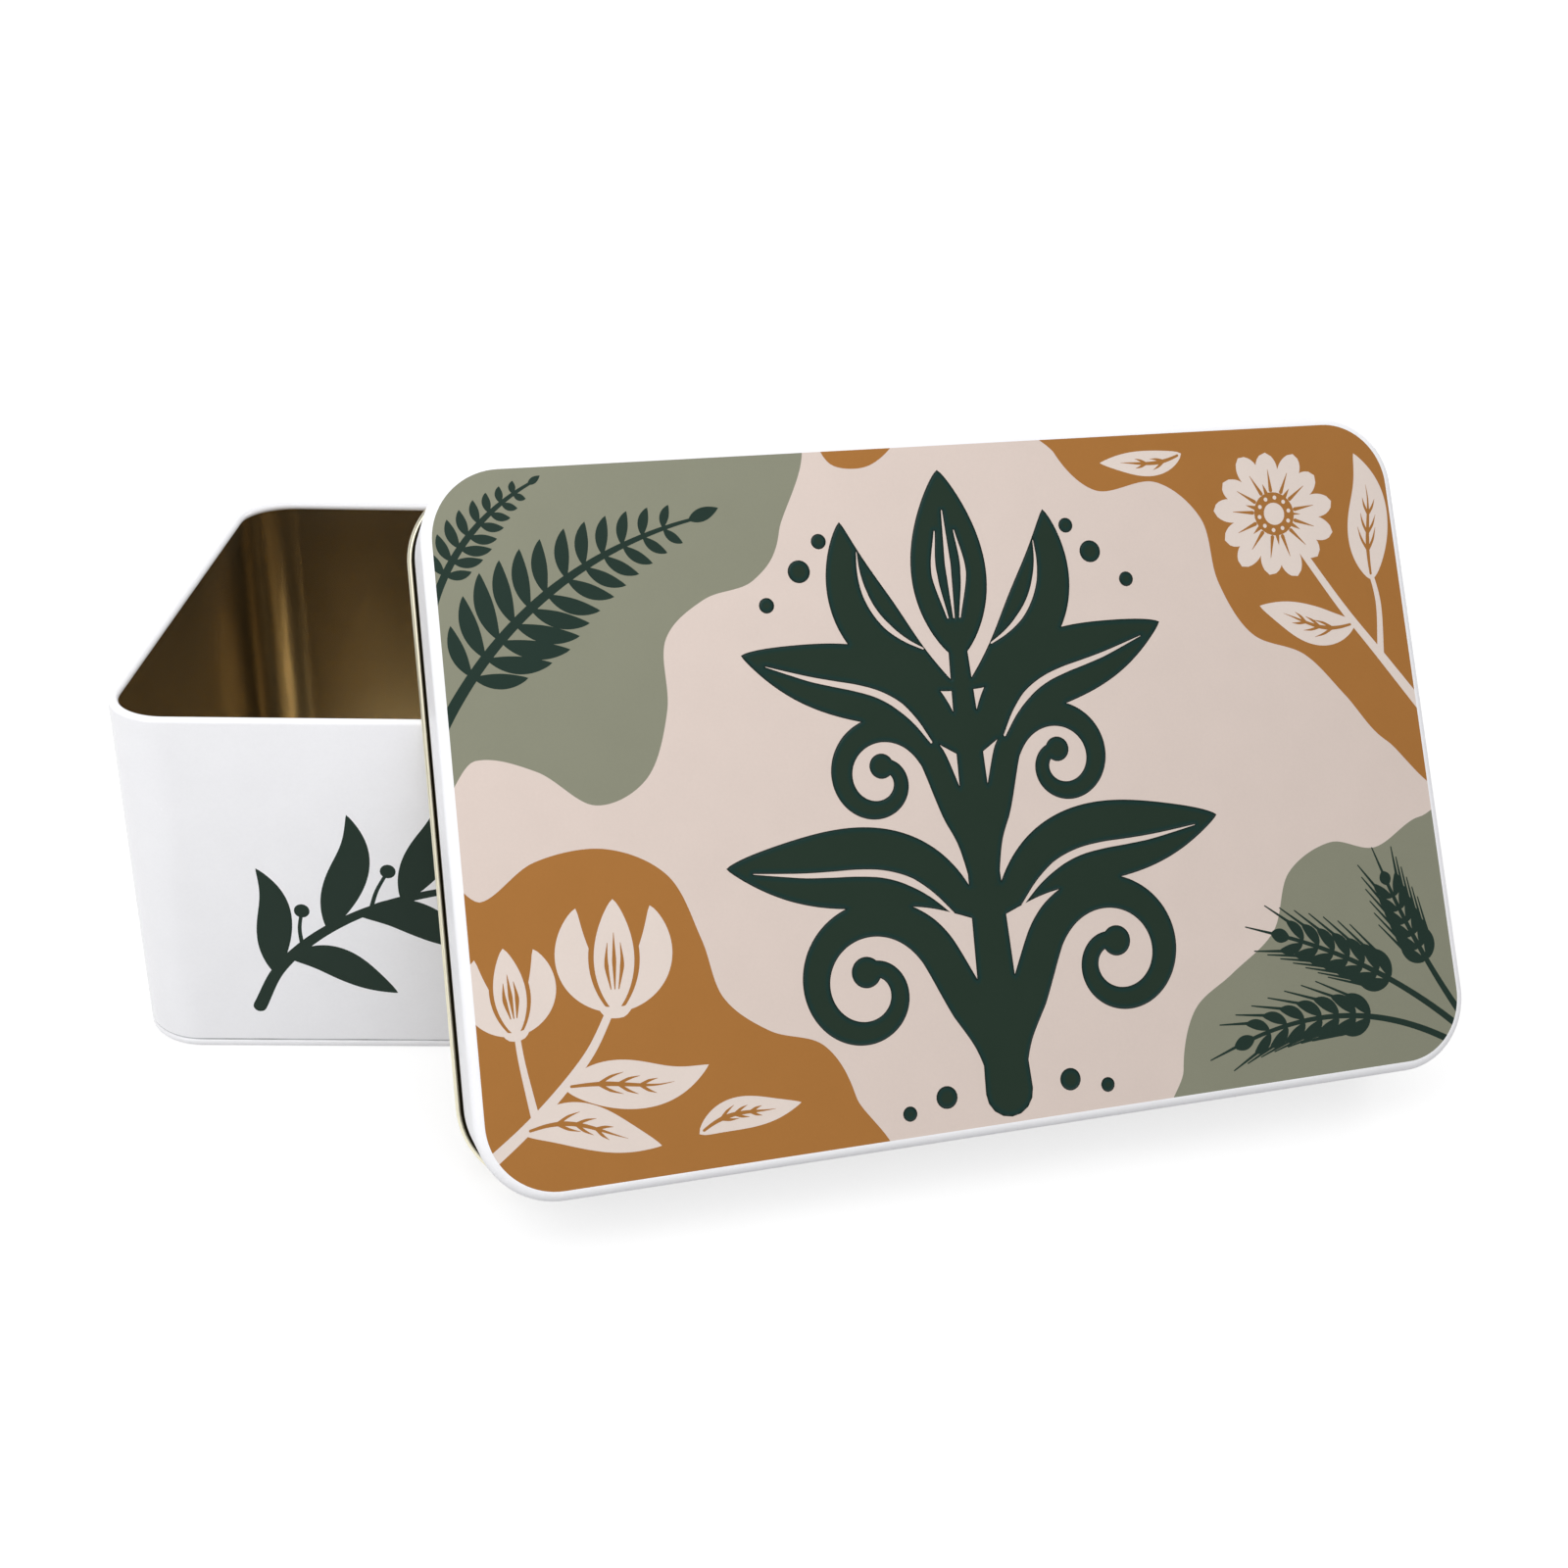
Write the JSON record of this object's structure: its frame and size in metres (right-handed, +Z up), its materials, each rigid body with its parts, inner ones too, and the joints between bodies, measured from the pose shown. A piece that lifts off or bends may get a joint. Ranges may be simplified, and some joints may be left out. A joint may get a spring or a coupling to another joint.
{
  "type": "seed storage tin",
  "caption": "Rectangular slip-lid tin for seed packets: rounded white wall with curled rim, rolled-in bottom, and a printed lid leaning against its front.",
  "frame": {"origin": "centre of the box's foot, on the surface that the box stands on", "axes": "+X to the right along the box's width, -Y out of the box's front, where the lid leans, +Z up"},
  "size_m": [0.2727, 0.1921, 0.128],
  "materials": {
    "white_enamel": "gloss",
    "gold_lacquer": "satin",
    "lid_enamel": "satin"
  },
  "bodies": {
    "box": {"box_wall": "white_enamel", "box_bottom": "gold_lacquer"},
    "lid": {"lid": "lid_enamel"}
  },
  "joints": [
    {"name": "lid_lift", "type": "slide", "parent": "box", "child": "lid", "axis": [0, 0, 1], "range_m": [0, 0.15]}
  ]
}
